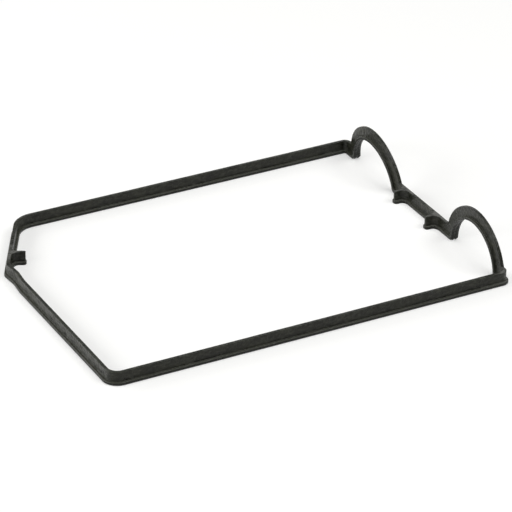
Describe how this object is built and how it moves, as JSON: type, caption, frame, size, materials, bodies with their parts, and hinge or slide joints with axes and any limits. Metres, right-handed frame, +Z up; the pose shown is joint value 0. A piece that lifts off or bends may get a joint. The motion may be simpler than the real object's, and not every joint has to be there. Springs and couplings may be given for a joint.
{
  "type": "valve cover gasket",
  "caption": "Moulded rubber gasket loop that seals a valve cover to a cylinder head, with arches over the camshaft bores and locating tabs.",
  "frame": {"origin": "under the middle of the gasket's bounding box, on the plane of the cylinder head's face", "axes": "+X along the long sides towards the arches, +Y across the loop to the side with the cut corner, +Z up from the cylinder head into the cover"},
  "size_m": [0.306, 0.23, 0.0369],
  "materials": {
    "rubber": "satin moulded black rubber"
  },
  "bodies": {
    "root": {"gasket": "rubber"}
  },
  "joints": []
}
